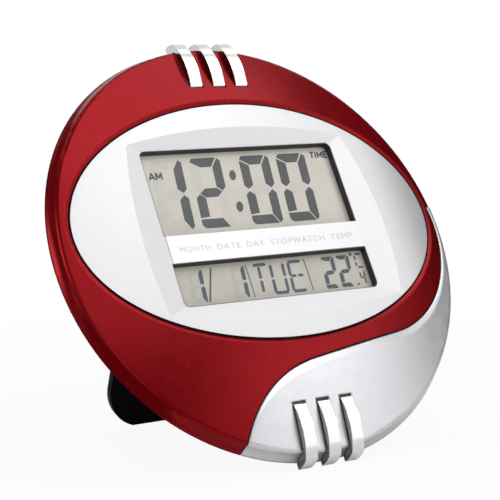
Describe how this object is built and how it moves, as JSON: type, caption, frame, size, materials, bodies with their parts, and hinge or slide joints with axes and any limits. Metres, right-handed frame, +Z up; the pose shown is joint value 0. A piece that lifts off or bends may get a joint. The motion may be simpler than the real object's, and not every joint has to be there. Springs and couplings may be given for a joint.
{
  "type": "digital wall clock",
  "caption": "Round domed digital clock with an oval fascia, two liquid-crystal windows, bright trim fins, rear setting buttons, a hanging keyhole and a folding stand.",
  "frame": {"origin": "on the surface the clock stands on, under the middle of its box", "axes": "+X to the right across the face, +Y to the rear, +Z up"},
  "size_m": [0.2156, 0.1262, 0.1883],
  "materials": {
    "red_shell": "metallic red lacquer, glossy",
    "silver_panel": "fine silver paint, satin",
    "white_face": "pearl white paint, semi-gloss",
    "chrome_trim": "bright plated plastic",
    "black_frame": "moulded, fine texture",
    "lcd_glass": "reflective liquid-crystal panel",
    "rear_plastic": "moulded, fine texture",
    "stand_plastic": "moulded, smooth",
    "button_rubber": "soft touch",
    "strip_rubber": "soft",
    "circuit_board": "solder mask",
    "chip_black": "epoxy",
    "steel": "plain",
    "cell_jacket": "printed sleeve, plain"
  },
  "bodies": {
    "case": {"front_shell": "red_shell", "cheek_panel": "silver_panel", "face_plate": "white_face", "label_strip": "white_face", "display_frame": "black_frame", "time_glass": "lcd_glass", "date_glass": "lcd_glass", "contact_strip_upper": "strip_rubber", "contact_strip_lower": "strip_rubber", "main_board": "circuit_board", "main_chip": "chip_black", "crystal": "steel", "sensor": "chip_black", "board_screws": "steel", "key_board": "circuit_board", "key_switches": "chip_black", "key_board_screws": "steel", "buzzer": "chip_black", "top_fin_left": "chrome_trim", "top_fin_middle": "chrome_trim", "top_fin_right": "chrome_trim", "low_fin_left": "chrome_trim", "low_fin_middle": "chrome_trim", "low_fin_right": "chrome_trim", "rear_cover": "rear_plastic", "case_screws": "steel", "cell_upper": "cell_jacket", "cell_lower": "cell_jacket", "contact_bridge": "steel", "contact_plus": "steel", "contact_minus": "steel", "stand_pin": "steel"},
    "stand": {"stand_leg": "stand_plastic"},
    "door": {"battery_door": "rear_plastic"},
    "key_1": {"button_1": "button_rubber"},
    "key_2": {"button_2": "button_rubber"},
    "key_3": {"button_3": "button_rubber"},
    "key_4": {"button_4": "button_rubber"}
  },
  "joints": [
    {"name": "stand_hinge", "type": "hinge", "parent": "case", "child": "stand", "pos_m": [0, 0.02179, 0.10377], "axis": [1, 0, 0], "range_deg": [-51, 0]},
    {"name": "door_slide", "type": "slide", "parent": "case", "child": "door", "axis": [0, 0.8462, -0.5329], "range_m": [0, 0.03]},
    {"name": "key_1_press", "type": "slide", "parent": "case", "child": "key_1", "axis": [0, -0.8462, 0.5329], "range_m": [0, 0.001], "stiffness_N_per_m": 400},
    {"name": "key_2_press", "type": "slide", "parent": "case", "child": "key_2", "axis": [0, -0.8462, 0.5329], "range_m": [0, 0.001], "stiffness_N_per_m": 400},
    {"name": "key_3_press", "type": "slide", "parent": "case", "child": "key_3", "axis": [0, -0.8462, 0.5329], "range_m": [0, 0.001], "stiffness_N_per_m": 400},
    {"name": "key_4_press", "type": "slide", "parent": "case", "child": "key_4", "axis": [0, -0.8462, 0.5329], "range_m": [0, 0.001], "stiffness_N_per_m": 400}
  ]
}
